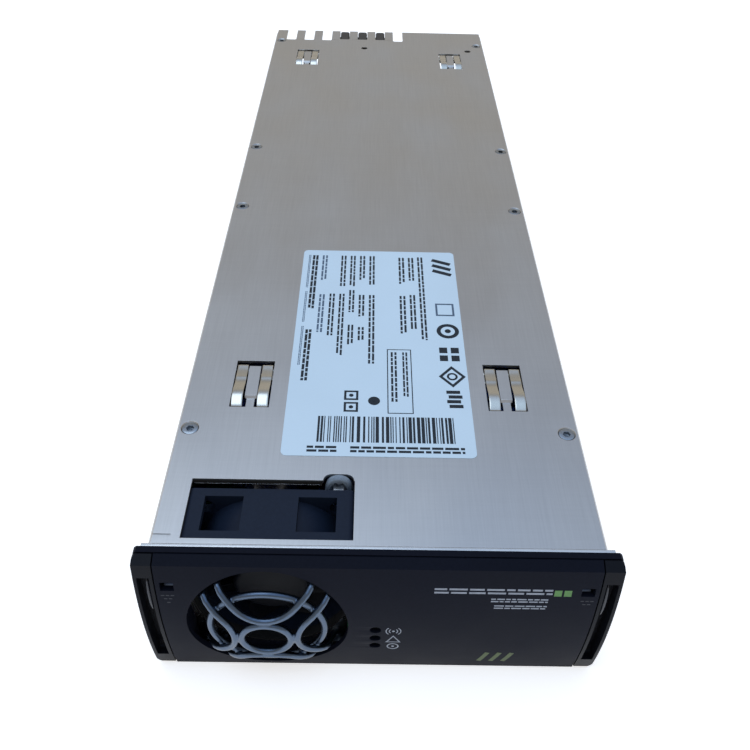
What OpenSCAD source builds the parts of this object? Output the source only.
// Plug-in rectifier and inverter module for a 19 inch power shelf. Lengths are in millimetres.
// X runs across the front, Y from front to rear, Z up from the underside of the tray.
// Depths inside at_joint() count from the joint between the fascia and the chassis.

/* [Chassis] */
// Width across the sides of the tray
tray_w = 104.4; // [104:0.1:105]
// Length from the fascia joint to the rear end of the cover
chassis_l = 316; // [312:1:330]
// Height of the closed chassis
chassis_h = 41.2; // [41.2:0.1:41.4]
// Thickness of every steel sheet
sheet = 1; // [0.8:0.1:1]
// Width of the inward flange along the top of each side
flange_w = 7; // [6:0.5:8]
// Overhang of the cover behind the rear panel
hood_l = 11; // [9:0.5:12]

/* [Fascia] */
// Width of the front
fascia_w = 109; // [109:0.1:110]
// Height of the front
fascia_h = 41.5; // [41.5:0.1:42]
// Depth of the fascia at its fullest point
fascia_d = 7; // [7:0.1:7.5]
// Radius of the bowed front face
fascia_r = 105; // [95:1:120]
// Thickness of the flat frame behind the fascia
base_t = 1.6; // [1.4:0.1:1.8]
// Wall thickness of the front moulding
fascia_wall = 1.4; // [1.2:0.1:1.5]
// Width of each swinging handle
handle_w = 4.4; // [4.2:0.1:4.5]
// Radius of the hinge pins in the handles
pin_r = 1; // [0.9:0.05:1]

/* [Fan] */
// Depth of the fan frame
fan_d = 15; // [14:0.5:15]
// Place of the fan axis across the front
fan_x = -25.5; // [-26:0.1:-25]
// Height of the fan axis
fan_z = 20.4; // [20.2:0.1:20.6]
// Number of blades
blades = 7; // [5:9]
// Diameter of the guard wire
wire_d = 1.6; // [1.4:0.1:1.6]
// Reach of the guard in front of the fascia joint
guard_d = 11; // [10.5:0.1:11.5]

/* [Contact springs] */
// Distance of each clip from the centre line
clip_x = 34.2; // [33:0.1:35]
// Crest of the fingers above the cover
crest_h = 1.1; // [0.8:0.1:1.3]

/* [Label] */
// Width of the rating label
label_w = 49; // [40:1:60]
// Length of the rating label
label_l = 90; // [70:1:100]

/* [Hidden] */
$fn = 48;

// Overall length from the guard's crest to the rear end, and the Y of the fascia joint
overall_l = guard_d + chassis_l;
joint_y = guard_d - overall_l / 2;
cut = 0.5;                               // overshoot of every cutting tool

// Chassis levels
cover_z = chassis_h - sheet;             // underside of the cover
tray_in = tray_w / 2 - sheet;            // inner face of the tray's sides
cover_w = tray_w - 2.2;
bulkhead_w = 106.2;
panel_y = chassis_l - hood_l;            // outer face of the rear panel
floor_end = panel_y + 1;                 // rear edge of the tray's floor
ear_x = 47.9;                            // inner side of the rear ears
screw_x = 48.3;                          // cover screws
screw_spots = concat([for (x = [-screw_x, screw_x], y = [36.5, 144.7, 189.4]) [x, y]],
    [[-screw_x, 302], [screw_x, 299.5]]);
notch_x0 = -43.7;                        // comb of notches in the hood
notch_pitch = 8.87;
notch_w = 4.8;
rib_w = 4.4;                             // ribs of the connector, which fill three of the notches
ribbed_notches = [3, 4, 5];
open_notches = [0, 1, 2, 6];
open_notch_l = hood_l + 1.5;

// Fan of the 40 mm standard size, and its cut-outs
fan_size = 40;
fan_pitch = 32;                          // spacing of its screw holes
fan_corner_r = 1.6;
fan_y = 2.5;                             // front of the fan frame
fan_window_w = 39;
fan_window_l = 17.3;
duct_r = 18.6;
fan_opening_r = 18.8;
fan_corners = [for (i = [-1, 1], j = [-1, 1]) [fan_x + i * fan_pitch / 2, fan_z + j * fan_pitch / 2]];

// Contact spring clips
clip_front_y = 44.3;                     // front edge of each cut-out
clip_rear_ys = [272.3, 270.5];
clip_spots = [[-clip_x, clip_front_y], [clip_x, clip_front_y],
    [-clip_x, clip_rear_ys[0]], [clip_x, clip_rear_ys[1]]];
clip_w = 10.4;
clip_l = 18.2;
clip_gap = 0.35;
tongue_w = 3.2;
tongue_root_w = 2.2;
tongue_l = 16;
tongue_dip = 0.7;                        // step at the tongue's root
finger_w = 2.9;
finger_x = tongue_w / 2 + clip_gap + finger_w / 2;
leaf_t = 0.35;
crest_r = 7;
crest_y = 4.6;
fold_r = 1.17;
fold_y = 16.1;
flat_z = chassis_h - 0.05;
fold_z = flat_z - fold_r;
crest_at = [crest_y, chassis_h + crest_h - crest_r];
crease = [11.5, flat_z];                 // where each finger starts to rise towards its crest
rise = crease - crest_at;
ramp_l = sqrt(norm(rise) ^ 2 - crest_r ^ 2);
ramp_a = atan2(rise[1], rise[0]) + acos(crest_r / norm(rise)) - 90;
ramp_top = crease + ramp_l * [-cos(ramp_a), -sin(ramp_a)];

// Fascia
face_mid_z = 17.5;
cover_half = fascia_w / 2 - handle_w - 0.3;   // half width of the front moulding
side_wall = 1;
pocket_x = cover_half - side_wall;            // inner face of the moulding's sides
top_edge_y = -4.7;
top_edge_z = 40.3;
window_x = [45.7, 48.8];
window_z = [32.8, 35.4];
led_x = -0.3;
led_zs = [11.8, 15.4, 19];

// Handles
pivot_y = -4.2;
pivot_z = 2.4;
pivot_r = 2.3;
handle_back = pivot_y + pivot_r;
run_gap = 0.05;                          // running clearance of the hinge pins

// Release catches
rib_x = 43.9;                            // inner side of each catch's guide
catch_x = [45.4, 48.5];
catch_y = [-4, -2];
catch_z = [18, 32];
spring_x = 46.95;
spring_y = -3;
spring_seat_z = 8;
spring_r = 1.1;
spring_wire_r = 0.22;
spring_turns = 7;

// Circuit board and what stands on it
board_z = 5;
board_t = 1.6;
deck_z = board_z + board_t;
standoffs = [for (x = [-46.3, 46.3], y = [28, 87, 256, 294]) [x, y]];
plug_x = 2;
plug_y = 27;
housing_x = [-21.5, 5];
housing_y = [296, chassis_l - 0.5];
housing_z = [deck_z, 38.5];
side_screw_yz = [for (y = [5.5, 299], z = [12, 30]) [y, z]];

// Route of the fan's lead, from the fan's rear face to its plug
lead_r = 0.95;
lead_route = [[-6.8, 17.5, 27], [-6.8, 18.6, 27], [-6.9, 19.9, 28.6], [-7, 20.4, 31.5],
    [-7.1, 20.6, 34.5], [-7.2, 20.6, 37.5], [-7.7, 20.6, 39.6], [-8.5, 20.6, 40.6],
    [-9.7, 20.6, 41], [-10.9, 20.6, 40.6], [-11.7, 20.6, 39.6], [-12.2, 20.6, 37.5],
    [-12.2, 20.8, 33.5], [-11.8, 21, 29], [-10.4, 21.6, 24.5], [-7.4, 22.8, 21],
    [-3.4, 24.6, 18.6], [0, 26.2, 16.8], [1.8, 26.9, 14.6], [2, 27, 12.6], [2, 27, 11]];

// Depth of the guard wire against its distance from the fan's axis
guard_bow = [[7.2, 0.8 - guard_d], [11.2, 1.7 - guard_d], [14.1, 2.7 - guard_d], [17.2, -6.2],
    [17.9, -3.9], [19.3, -1.5], [20.2, -wire_d / 2], [26, -wire_d / 2]];
wire_offset = 2.55;                      // each wire from the diagonal that it follows
vertex_r = 8.7;                          // bend of each wire where it turns at the middle
weld_r = 13.3;
hub_ring_r = 5.65;

// Helpers
module at_joint() translate([0, joint_y, 0]) children();
module box(low, high) translate(low) cube(high - low);
module along_x(x0, x1) translate([x0, 0, 0]) rotate([90, 0, 90]) linear_extrude(x1 - x0) children();
module along_y(y0, y1) translate([0, y1, 0]) rotate([90, 0, 0]) linear_extrude(y1 - y0) children();
module rod_x(x0, x1, y, z, r) translate([x0, y, z]) rotate([0, 90, 0]) cylinder(h = x1 - x0, r = r);
module rod_y(y0, y1, x, z, r) translate([x, y1, z]) rotate([90, 0, 0]) cylinder(h = y1 - y0, r = r);
module rod_z(z0, z1, x, y, r) translate([x, y, z0]) cylinder(h = z1 - z0, r = r);
module both_sides() {
    children();
    mirror([1, 0, 0]) children();
}
module on_side(side) mirror([side < 0 ? 1 : 0, 0, 0]) children();
module rounded(w, h, r) {
    square([w - 2 * r, h], center = true);
    square([w, h - 2 * r], center = true);
    for (i = [-1, 1], j = [-1, 1])
        translate([i * (w / 2 - r), j * (h / 2 - r)]) circle(r);
}
module ring(r, t) difference() {
    circle(r);
    circle(r - t);
}

// A tube with flat ends, or a closed loop, swept along points
function unit(v) = v / norm(v);
function ahead(p, closed) = [for (n = len(p), i = [0 : n - 1])
    closed ? unit(p[(i + 1) % n] - p[(i + n - 1) % n])
           : unit(p[min(i + 1, n - 1)] - p[max(i - 1, 0)])];
function flatten_to(v, t) = unit(v - (v * t) * t);
function carried(t, start) = [for (i = 0, v = flatten_to(start, t[0]); i < len(t);
    i = i + 1, v = i < len(t) ? flatten_to(v, t[i]) : v) v];
module tube(p, r, start, sides = 8, closed = false) {
    t = ahead(p, closed);
    v = carried(t, start);
    n = len(p);
    skin = [for (i = [0 : n - 1], k = [0 : sides - 1])
        let (a = 360 * k / sides) p[i] + r * (cos(a) * v[i] + sin(a) * cross(t[i], v[i]))];
    walls = [for (i = [0 : n - (closed ? 1 : 2)], k = [0 : sides - 1])
        let (j = (i + 1) % n, m = (k + 1) % sides)
        each [[i * sides + k, i * sides + m, j * sides + m],
              [i * sides + k, j * sides + m, j * sides + k]]];
    first = [for (k = [sides - 1 : -1 : 0]) k];
    last = [for (k = [0 : sides - 1]) (n - 1) * sides + k];
    polyhedron(skin, closed ? walls : concat(walls, [first, last]));
}

// Chassis
module tray_section() translate([0, cover_z / 2]) difference() {
    rounded(tray_w, cover_z, 1.5);
    rounded(2 * tray_in, cover_z - 2 * sheet, 0.5);
    translate([0, cover_z / 2]) square([2 * (tray_w / 2 - flange_w), 4 * sheet], center = true);
}
module bottom_tray() color("silver") at_joint() difference() {
    along_y(sheet, chassis_l) tray_section();
    box([-ear_x, floor_end, -cut], [ear_x, chassis_l + cut, chassis_h]);
    fan_window(-cut, sheet + cut, 0.6);
    for (p = screw_spots) rod_z(0.5 * cover_z, chassis_h, p[0], p[1], 1.25);
    for (s = standoffs) rod_z(-cut, sheet + cut, s[0], s[1], 1.9);
    both_sides() for (s = side_screw_yz) side_screw(s[0], s[1]);
}
module fan_window(z0, z1, spare = 0) box([fan_x - fan_window_w / 2 + 0.2 - spare, fan_y, z0],
    [fan_x + fan_window_w / 2 + 0.2 + spare, fan_y + fan_window_l, z1]);
module lead_notch() translate([-9.7, fan_y + fan_window_l, cover_z - cut])
    linear_extrude(sheet + 2 * cut) rounded(7.4, 4, 1.9);
module top_cover() color("silver") at_joint() {
    difference() {
        box([-cover_w / 2, sheet, cover_z], [cover_w / 2, chassis_l, chassis_h]);
        fan_window(cover_z - cut, chassis_h + cut);
        lead_notch();
        for (p = screw_spots) {
            rod_z(cover_z - cut, chassis_h + cut, p[0], p[1], 1.6);
            translate([p[0], p[1], cover_z + 0.1]) cylinder(h = sheet, r1 = 1.7, r2 = 2.4);
        }
        for (p = clip_spots) translate([p[0], p[1], 0])
            box([-clip_w / 2, 0, cover_z - cut], [clip_w / 2, clip_l, chassis_h + cut]);
        for (i = ribbed_notches) hood_notch(i, hood_l);
        for (i = open_notches) hood_notch(i, open_notch_l);
        rod_z(cover_z - cut, chassis_h + cut, -7.1, 294, 1.5);
        rod_z(cover_z - cut, chassis_h + cut, 43.5, 292.5, 1.5);
        box([-cover_w / 2 - cut, 3, chassis_h - 0.3], [-47, 3.6, chassis_h + cut]);
    }
    for (p = clip_spots) translate([p[0], p[1], 0]) tongue();
}
module hood_notch(i, l) translate([notch_x0 + i * notch_pitch, chassis_l, cover_z - cut])
    linear_extrude(sheet + 2 * cut) rounded(notch_w, 2 * l, 0.8);
module tongue() {
    along_x(-tongue_w / 2, tongue_w / 2) polygon([
        [3.8, cover_z - tongue_dip], [4.6, cover_z], [tongue_l, cover_z],
        [tongue_l, chassis_h], [4.4, chassis_h], [3.8, chassis_h - tongue_dip]]);
    box([-tongue_root_w / 2, -0.2, cover_z - tongue_dip], [tongue_root_w / 2, 4, chassis_h - tongue_dip]);
}
module rear_panel() color("silver") at_joint() difference() {
    union() {
        box([-tray_in, panel_y - sheet, sheet], [tray_in, panel_y, cover_z - sheet]);
        both_sides() box([tray_in - sheet, panel_y - 9, 8], [tray_in, panel_y - sheet / 2, 34]);
    }
    box([housing_x[0], panel_y - 2, housing_z[0]], [housing_x[1], panel_y + cut, housing_z[1]]);
    for (x = [-44, -37.5, -31, 12, 18.5, 25, 31.5, 38, 44.5], z = [6, 22])
        box([x - 1.6, panel_y - 2, z], [x + 1.6, panel_y + cut, z + 12.5]);
    both_sides() for (s = side_screw_yz) side_screw(s[0], s[1]);
}
module front_bulkhead() color("gainsboro") at_joint() difference() {
    union() {
        box([-bulkhead_w / 2, 0, 0], [bulkhead_w / 2, sheet, chassis_h]);
        both_sides() box([tray_in - sheet, sheet / 2, 8], [tray_in, 9, 34]);
    }
    rod_y(-cut, sheet + cut, fan_x, fan_z, duct_r);
    for (c = fan_corners) rod_y(-cut, sheet + cut, c[0], c[1], 1.7);
    for (x = [8, 38], z = [5, 36.5]) rod_y(-cut, sheet + cut, x, z, 1.5);
    box([11.5, -cut, 13], [18.5, sheet + cut, 15.2]);
    both_sides() for (s = side_screw_yz) side_screw(s[0], s[1]);
}
module insulation_sheet() color("lightyellow") at_joint() difference() {
    box([-50, 22, sheet], [50, 303, sheet + 0.4]);
    for (s = standoffs) rod_z(0, 2, s[0], s[1], 3.4);
}
module cover_screw() difference() {
    union() {
        translate([0, 0, 0.1]) cylinder(h = 0.7, r1 = 1.6, r2 = 2.05);
        rod_z(-4, 0.2, 0, 0, 1.25);
    }
    translate([0, 0, -0.2]) cylinder(h = 2, r = 1.05, $fn = 6);
}
module cover_screws() color("dimgray") at_joint()
    for (p = screw_spots) translate([p[0], p[1], cover_z]) cover_screw();
module side_screw(y, z) {
    rod_x(tray_in - 2.5, tray_w / 2, y, z, 1.4);
    translate([tray_in, y, z]) rotate([0, 90, 0]) cylinder(h = sheet, r1 = 1.4, r2 = 2.4);
}
module side_screws() color("dimgray") at_joint() both_sides() for (s = side_screw_yz) difference() {
    side_screw(s[0], s[1]);
    box([tray_in + 0.5, s[0] - 1.5, s[1] - 0.25], [tray_w, s[0] + 1.5, s[1] + 0.25]);
    box([tray_in + 0.5, s[0] - 0.25, s[1] - 1.5], [tray_w, s[0] + 0.25, s[1] + 1.5]);
}
module board_standoffs() color("goldenrod") at_joint() for (s = standoffs) difference() {
    union() {
        rod_z(0, sheet, s[0], s[1], 1.9);
        translate([s[0], s[1], sheet]) cylinder(h = board_z - sheet, r = 3, $fn = 6);
    }
    rod_z(sheet + 0.6, board_z + cut, s[0], s[1], 1.25);
}
module board_screws() color("silver") at_joint() for (s = standoffs) {
    rod_z(deck_z, deck_z + 1.6, s[0], s[1], 2.6);
    rod_z(board_z - 3, deck_z, s[0], s[1], 1.25);
}

// Fascia
module front_outline() difference() {
    translate([0, fascia_h / 2]) union() {
        rounded(fascia_w, fascia_h, 2.6);
        translate([0, fascia_h / 4]) square([fascia_w, fascia_h / 2], center = true);
    }
    for (i = [-1, 1]) translate([i * fascia_w / 2, fascia_h]) rotate(45) square(0.85, center = true);
}
module bowed_disc(inset) translate([fascia_r - fascia_d, face_mid_z]) circle(fascia_r - inset, $fn = 180);
module front_side(back, drop) intersection() {
    bowed_disc(0);
    polygon([[-12, 0], [back, 0], [back, fascia_h - drop], [-base_t - 0.4, fascia_h - drop],
        [-base_t - 0.4, fascia_h - 0.1], [top_edge_y, top_edge_z], [-12, top_edge_z - 2.8]]);
}
module fascia_base() color([0.13, 0.13, 0.14]) at_joint() difference() {
    along_y(-base_t, 0) front_outline();
    along_y(-base_t - cut, cut) translate([fan_x, fan_z]) rounded(41.6, 39.2, 3.6);
    for (x = [8, 38], z = [5, 36.5]) rod_y(-base_t - cut, cut, x, z, 1.5);
    box([11.5, -base_t - cut, 13], [18.5, cut, 15.2]);
}
module inner_rib(x0, x1, z0, z1) along_x(x0, x1) intersection() {
    bowed_disc(0.7);
    translate([-12, z0]) square([12 - base_t, z1 - z0]);
}
module fascia_cover() color([0.13, 0.13, 0.14]) at_joint() difference() {
    union() {
        difference() {
            along_x(-cover_half, cover_half) front_side(-base_t, 0.35);
            along_x(-pocket_x, pocket_x) intersection() {
                bowed_disc(fascia_wall);
                translate([-12, fascia_wall]) square([12, top_edge_z - 2.5 * fascia_wall + 0.4]);
            }
        }
        both_sides() {
            inner_rib(rib_x, rib_x + 1.2, 1, 36);
            inner_rib(rib_x, cover_half - 0.5, 6.5, spring_seat_z);
            inner_rib(rib_x, cover_half - 0.5, 1, 5);
        }
        for (x = [8, 38], z = [5, 36.5]) rod_y(-4.6, -base_t, x, z, 2.6);
    }
    rod_y(-12, cut, fan_x, fan_z, fan_opening_r);
    for (c = fan_corners) rod_y(-3.6, -base_t + cut, c[0], c[1], 2.9);
    both_sides() {
        box([window_x[0], -12, window_z[0]], [window_x[1], -4, window_z[1]]);
        box([pocket_x - cut, -4, 20], [cover_half + cut, -2, 24.6]);
        rod_x(44.4, cover_half + cut, pivot_y, pivot_z, pin_r);
    }
    for (z = led_zs) along_y(-12, -5) translate([led_x, z]) rounded(2.7, 2.5, 1.2);
    for (x = [8, 38], z = [5, 36.5]) rod_y(-4.2, cut, x, z, 1.2);
}
module fascia_screws() color("dimgray") at_joint() for (x = [8, 38], z = [5, 36.5]) {
    rod_y(sheet, sheet + 1.6, x, z, 2.5);
    rod_y(-4.2, sheet, x, z, 1.2);
}
module handle(side) at_joint() on_side(side) difference() {
    intersection() {
        along_x(fascia_w / 2 - handle_w, fascia_w / 2) intersection() {
            front_side(handle_back, 0.2);
            union() {
                translate([-12, pivot_z]) square([12, fascia_h]);
                translate([pivot_y, pivot_z]) circle(pivot_r);
            }
        }
        along_y(-12, 1) front_outline();
    }
    along_x(fascia_w / 2 - handle_w + 0.8, fascia_w / 2 - 0.8)
        translate([-7.6, 21]) rounded(9, 31.4, 1.8);
    rod_x(fascia_w / 2 - handle_w - cut, fascia_w / 2 - 0.6, pivot_y, pivot_z, pin_r + run_gap);
}
module handle_pin(side) at_joint() on_side(side) rod_x(44.4, fascia_w / 2 - 0.8, pivot_y, pivot_z, pin_r);
module catch(side) at_joint() on_side(side) {
    difference() {
        box([catch_x[0], catch_y[0], catch_z[0]], [catch_x[1], catch_y[1], catch_z[1]]);
        translate([0, catch_y[0], catch_z[1]]) rotate([45, 0, 0]) cube([200, 0.7, 0.7], center = true);
    }
    box([catch_x[1] - cut, -3.6, 22], [cover_half - 0.3, -2.4, 24]);
    rod_z(15.5, catch_z[0], spring_x, spring_y, 0.65);
}
function spring_path(h) = [for (i = [0 : 84])
    let (a = 360 * spring_turns * i / 84)
    [spring_r * cos(a), spring_r * sin(a), spring_wire_r + (h - 2 * spring_wire_r) * i / 84]];
module catch_spring(side) at_joint() on_side(side) translate([spring_x, spring_y, spring_seat_z])
    tube(spring_path(catch_z[0] - spring_seat_z), spring_wire_r, [1, 0, 0], 6);
module handle_left() color([0.13, 0.13, 0.14]) handle(-1);
module handle_right() color([0.13, 0.13, 0.14]) handle(1);
module handle_pin_left() color("silver") handle_pin(-1);
module handle_pin_right() color("silver") handle_pin(1);
module catch_left() color("slategray") catch(-1);
module catch_right() color("slategray") catch(1);
module catch_spring_left() color("silver") catch_spring(-1);
module catch_spring_right() color("silver") catch_spring(1);
module light_pipe() color([0.2, 0.22, 0.2]) at_joint() {
    for (z = led_zs) along_y(-5.9, -4) translate([led_x, z]) rounded(2.4, 2.2, 1.05);
    box([led_x - 1.9, -4.4, 10], [led_x + 1.9, -3.6, 20.8]);
    for (z = [10, 20]) box([led_x - 1.9, -3.8, z], [led_x + 1.9, -2.6, z + 0.8]);
}
module led_board() color("darkgreen") at_joint() box([-7, -2.6, 8], [20, -base_t, 24]);
module led_chips() color("white") at_joint() for (z = led_zs)
    box([led_x - 0.8, -3.4, z - 0.4], [led_x + 0.8, -2.6, z + 0.4]);
module led_flex() color("orange") at_joint() along_x(12, 18) polygon([
    [-base_t, 13.9], [28, 13.9], [28, deck_z], [28.3, deck_z], [28.3, 14.2], [-base_t, 14.2]]);

// Fan
function guard_point(u, v) = [u, lookup(norm([u, v]), guard_bow), v];
function turned(p, a) = [p[0] * cos(a) - p[2] * sin(a), p[1], p[0] * sin(a) + p[2] * cos(a)];
function diagonal_point(s) = guard_point((s - wire_offset) / sqrt(2), (s + wire_offset) / sqrt(2));
bend_z = wire_offset * sqrt(2) + vertex_r * sqrt(2);
guard_eighth = concat(
    [for (a = [0 : 9 : 36]) guard_point(vertex_r * sin(a), bend_z - vertex_r * cos(a))],
    [for (s = [wire_offset + vertex_r, 13, 14.7, 16.2, 17.2, 17.8, 18.6, 19.5, 20.6, 22.6])
        diagonal_point(s)],
    [for (a = [112.5, 90, 67.5]) guard_point(fan_pitch / 2 + wire_offset * cos(a),
        fan_pitch / 2 + wire_offset * sin(a))]);
guard_quarter = concat(guard_eighth,
    [guard_point((fan_pitch / 2 + wire_offset / sqrt(2)), (fan_pitch / 2 + wire_offset / sqrt(2)))],
    [for (i = [len(guard_eighth) - 1 : -1 : 1], p = [guard_eighth[i]]) [p[2], p[1], p[0]]]);
module guard_wire() color([0.45, 0.52, 0.6]) at_joint() translate([fan_x, 0, fan_z])
    tube([for (q = [0 : 3], p = guard_quarter) turned(p, -90 * q)], wire_d / 2, [0, 1, 0], 8, true);
module guard_rings() color([0.45, 0.52, 0.6]) at_joint() {
    for (g = [[weld_r, 4 - guard_d], [hub_ring_r, wire_d / 2 - guard_d]])
        translate([fan_x, g[1], fan_z]) rotate([90, 0, 0]) rotate_extrude()
            translate([g[0], 0]) circle(wire_d / 2);
}
module fan_screws() color("dimgray") at_joint() for (c = fan_corners) difference() {
    union() {
        rod_y(-wire_d - 1.6, -wire_d, c[0], c[1], 2.6);
        rod_y(-wire_d, fan_y + 3.5, c[0], c[1], 1.5);
    }
    translate([c[0], -wire_d - 1.6, c[1]]) cube([3, 1.4, 0.6], center = true);
    translate([c[0], -wire_d - 1.6, c[1]]) cube([0.6, 1.4, 3], center = true);
}
module fan_gasket() color("darkslategray") at_joint() along_y(sheet, fan_y) difference() {
    translate([fan_x, fan_z]) rounded(fan_size - 1, fan_size - 1.6, 3);
    translate([fan_x, fan_z]) circle(duct_r);
    for (c = fan_corners) translate(c) circle(1.6);
}
module fan_pocket() difference() {
    union() {
        translate([6.5, 6.5]) square([9.1, fan_size / 2 - 6]);
        translate([6.5, 6.5]) square([fan_size / 2 - 6, 9.1]);
    }
    circle(duct_r + 0.9);
}
module fan_frame() color([0.12, 0.13, 0.16]) at_joint() difference() {
    union() {
        along_y(fan_y, fan_y + fan_d) translate([fan_x, fan_z]) difference() {
            rounded(fan_size, fan_size, fan_corner_r);
            circle(duct_r);
        }
        intersection() {
            along_y(fan_y + fan_d - 2, fan_y + fan_d) translate([fan_x, fan_z]) union() {
                circle(10);
                for (a = [10, 100, 190, 280]) rotate(a) translate([0, -1.2]) square([19, 2.4]);
            }
            rod_y(fan_y, fan_y + fan_d, fan_x, fan_z, duct_r + 0.2);
        }
        rod_y(fan_y + 2.6, fan_y + fan_d - 1, fan_x, fan_z, 2.2);
    }
    rod_y(fan_y, fan_y + fan_d - 0.6, fan_x, fan_z, 1 + run_gap);
    for (c = fan_corners) {
        rod_y(fan_y - cut, fan_y + 3.5, c[0], c[1], 1.5);
        rod_y(fan_y + 3.5, fan_y + fan_d + cut, c[0], c[1], 2.15);
    }
    for (a = [0, 90, 180, 270]) translate([fan_x, 0, fan_z]) rotate([0, a, 0])
        along_y(fan_y + 2.7, fan_y + fan_d - 2.3) fan_pocket();
}
module blade() intersection() {
    difference() {
        rod_y(fan_y + 1, fan_y + 12, 0, 0, duct_r - 0.8);
        rod_y(fan_y, fan_y + 13, 0, 0, 9.2);
    }
    translate([0, fan_y + 6.2, 13]) rotate([0, 0, 38]) cube([16, 1.1, 14], center = true);
}
module fan_rotor() color([0.1, 0.1, 0.12]) at_joint() translate([fan_x, 0, fan_z]) {
    for (i = [0 : blades - 1]) rotate([0, 360 * i / blades, 0]) blade();
    difference() {
        rod_y(fan_y + 0.7, fan_y + 12.2, 0, 0, 9.5);
        rod_y(fan_y + 1.9, fan_y + 13, 0, 0, 8.6);
    }
}
module fan_shaft() color("silver") at_joint() rod_y(fan_y + 1.9, fan_y + fan_d - 0.9, fan_x, fan_z, 1);
module fan_stator() color("peru") at_joint() difference() {
    rod_y(fan_y + 3.2, fan_y + 11.6, fan_x, fan_z, 7.8);
    rod_y(fan_y + 3, fan_y + 12, fan_x, fan_z, 2.2);
    for (a = [0 : 60 : 300]) translate([fan_x, fan_y + 7.5, fan_z]) rotate([0, a, 0])
        translate([0, 0, 6.5]) cube([1.6, 12, 5], center = true);
}
module fan_lead() color("gray") at_joint() tube(lead_route, lead_r, [0, 0, 1]);
module fan_plug() color("ivory") at_joint()
    box([plug_x - 3, plug_y - 2.5, deck_z], [plug_x + 3, plug_y + 2.5, 11]);

// Contact springs: two arched fingers on a folded leaf, hooked round the cover's tongue
module finger_section() {
    intersection() {
        translate(crest_at) ring(crest_r, leaf_t);
        translate([0.45, flat_z - leaf_t - 0.4]) square([ramp_top[0] - 0.45, 4]);
    }
    translate(ramp_top) rotate(ramp_a) translate([0, -leaf_t]) square([ramp_l, leaf_t]);
    translate([crease[0] - leaf_t, flat_z - leaf_t]) square([fold_y - crease[0] + leaf_t, leaf_t]);
    intersection() {
        translate([fold_y, fold_z]) ring(fold_r, leaf_t);
        translate([fold_y, fold_z - 2]) square([4, 4]);
    }
    translate([12.7, fold_z - fold_r]) square([fold_y - 12.7, leaf_t]);
}
module contact_spring(side, y) color("gainsboro") at_joint() translate([side * clip_x, y, 0]) {
    for (i = [-1, 1]) along_x(i * finger_x - finger_w / 2, i * finger_x + finger_w / 2) finger_section();
    box([-finger_x - finger_w / 2, 12.7, fold_z - fold_r],
        [finger_x + finger_w / 2, 15.2, fold_z - fold_r + leaf_t]);
}
module contact_spring_front_left() contact_spring(-1, clip_front_y);
module contact_spring_front_right() contact_spring(1, clip_front_y);
module contact_spring_rear_left() contact_spring(-1, clip_rear_ys[0]);
module contact_spring_rear_right() contact_spring(1, clip_rear_ys[1]);
module rating_label() color("aliceblue") at_joint() translate([0, 27.5 + label_l / 2, chassis_h])
    linear_extrude(0.12) rounded(label_w, label_l, 1.5);

// Electronics
module main_board() color("darkgreen") at_joint() difference() {
    box([-49.5, 24, board_z], [49.5, 302, deck_z]);
    for (s = standoffs) rod_z(board_z - cut, deck_z + cut, s[0], s[1], 1.5);
}
module blade_bars() for (i = [0 : 2], j = [0, 1])
    box([housing_x[0] + 3.4 + 7 * i, housing_y[0] + 4, 11 + 13 * j],
        [housing_x[0] + 4.6 + 7 * i, housing_y[1] - 2, 20 + 13 * j]);
module rear_connector() color([0.08, 0.08, 0.09]) at_joint() difference() {
    union() {
        box([housing_x[0], housing_y[0], housing_z[0]], [housing_x[1], housing_y[1], housing_z[1]]);
        for (i = ribbed_notches) along_y(panel_y + 0.4, housing_y[1])
            translate([notch_x0 + i * notch_pitch, housing_z[1] + 0.7]) rounded(rib_w, 3.6, 0.9);
    }
    for (i = [0 : 2], j = [0, 1])
        box([housing_x[0] + 1.9 + 7 * i, housing_y[0] + 9, 9.5 + 13 * j],
            [housing_x[0] + 6.1 + 7 * i, housing_y[1] + cut, 21.5 + 13 * j]);
    blade_bars();
    for (z = [12 : 2.5 : 32]) rod_y(housing_y[0] + 4, housing_y[1] + cut, housing_x[1] - 2.4, z, 0.9);
}
module power_blades() color("goldenrod") at_joint() blade_bars();
module signal_pins() color("goldenrod") at_joint() for (z = [12 : 2.5 : 32])
    rod_y(housing_y[0] + 4, housing_y[1] - 1, housing_x[1] - 2.4, z, 0.4);
module heat_sink() at_joint() {
    box([43, 92, deck_z], [46, 250, 37]);
    for (z = [deck_z : 5 : 32]) box([46, 92, z], [50.6, 250, z + 1.4]);
}
module heat_sink_left() color("darkgray") mirror([1, 0, 0]) heat_sink();
module heat_sink_right() color("darkgray") heat_sink();
module transistors() color([0.1, 0.1, 0.1]) at_joint() both_sides() for (y = [104 : 22 : 236]) {
    box([38, y - 8, 11], [43, y + 8, 32]);
    for (i = [-5.4, 0, 5.4]) box([40, y + i - 0.6, deck_z], [40.8, y + i + 0.6, 11]);
}
module capacitor(x, y, r, h) difference() {
    rod_z(deck_z, deck_z + h, x, y, r);
    translate([x, y, deck_z + 3]) rotate_extrude() translate([r + 0.4, 0]) circle(0.9);
    for (a = [0, 90]) translate([x, y, deck_z + h]) rotate(a) cube([1.4 * r, 0.5, 0.6], center = true);
}
module bulk_capacitors() color([0.15, 0.17, 0.3]) at_joint()
    for (x = [-30, -6, 18], y = [43, 67]) capacitor(x, y, 11, 30);
module output_capacitors() color([0.2, 0.2, 0.22]) at_joint()
    for (x = [-30 : 15 : 30]) capacitor(x, 228, 6.25, 25);
module transformer_core() color([0.2, 0.2, 0.21]) at_joint() difference() {
    box([-22, 130, deck_z], [22, 172, 35]);
    both_sides() box([7.5, 128, 11], [13.5, 174, 31]);
}
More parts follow.
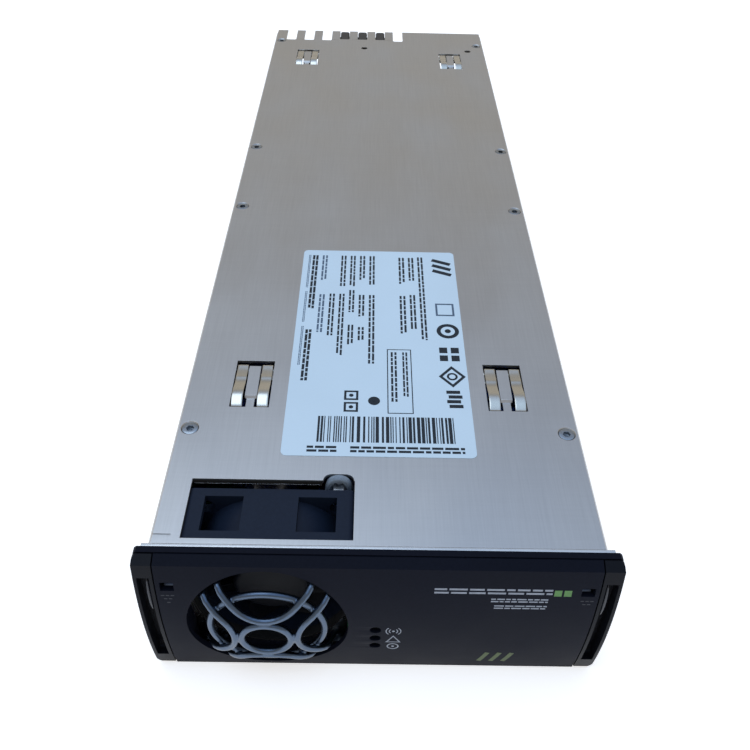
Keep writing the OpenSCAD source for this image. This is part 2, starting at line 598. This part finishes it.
module transformer_winding() color("gold") at_joint() difference() {
    box([-13.3, 124.5, 11.3], [13.3, 177.5, 30.7]);
    box([-7.7, 129.8, 11], [7.7, 172.2, 31]);
}
module core_ring(x, y, z, r, t, h) translate([x, y, z]) rotate_extrude()
    translate([r - t, 0]) square([t, h]);
module winding_ring(x, y, z, r, t, h, wall) translate([x, y, z]) rotate(20) rotate_extrude(angle = 320)
    difference() {
        translate([r - t - wall, -wall]) square([t + 2 * wall, h + 2 * wall]);
        translate([r - t, 0]) square([t, h]);
    }
module boost_choke_core() color("khaki") at_joint() core_ring(-14, 107, 8, 15, 7, 15);
module boost_choke_winding() color("peru") at_joint() winding_ring(-14, 107, 8, 15, 7, 15, 1.4);
module output_chokes() color("peru") at_joint()
    for (x = [-17, 17]) core_ring(x, 198, deck_z, 13.3, 8.2, 14.6);
module film_capacitors() color("royalblue") at_joint() {
    for (y = [34, 62]) box([31, y, deck_z], [42, y + 24, 29]);
    box([6, 96, deck_z], [24, 106, 24]);
}
module relays() color([0.12, 0.12, 0.13]) at_joint() for (x = [-36, -20, 14, 30])
    box([x, 245, deck_z], [x + 12.7, 272, 22.3]);
module fuses() color("ivory") at_joint() for (x = [18, 29]) {
    rod_y(276, 296, x, 12, 3);
    for (y = [275, 291]) rod_y(y, y + 6, x, 12, 3.3);
    for (y = [276, 292]) box([x - 2, y, deck_z], [x + 2, y + 4, 10]);
}
module line_filter_choke() color("seagreen") at_joint() core_ring(-33.5, 287, deck_z, 11.2, 7, 14.4);
module control_board() color("darkgreen") at_joint() box([30, 114, deck_z], [31.6, 186, 36]);
module control_chips() color([0.1, 0.1, 0.1]) at_joint() {
    box([31.6, 122, 14], [33, 136, 28]);
    for (y = [146, 160, 172]) box([31.6, y, 18], [33.2, y + 8, 24]);
}

bottom_tray();
top_cover();
rear_panel();
front_bulkhead();
insulation_sheet();
cover_screws();
side_screws();
board_standoffs();
board_screws();
fascia_base();
fascia_cover();
fascia_screws();
handle_left();
handle_right();
handle_pin_left();
handle_pin_right();
catch_left();
catch_right();
catch_spring_left();
catch_spring_right();
light_pipe();
led_board();
led_chips();
led_flex();
guard_wire();
guard_rings();
fan_screws();
fan_gasket();
fan_frame();
fan_rotor();
fan_shaft();
fan_stator();
fan_lead();
fan_plug();
contact_spring_front_left();
contact_spring_front_right();
contact_spring_rear_left();
contact_spring_rear_right();
rating_label();
main_board();
rear_connector();
power_blades();
signal_pins();
heat_sink_left();
heat_sink_right();
transistors();
bulk_capacitors();
transformer_core();
transformer_winding();
boost_choke_core();
boost_choke_winding();
output_chokes();
output_capacitors();
film_capacitors();
relays();
fuses();
line_filter_choke();
control_board();
control_chips();
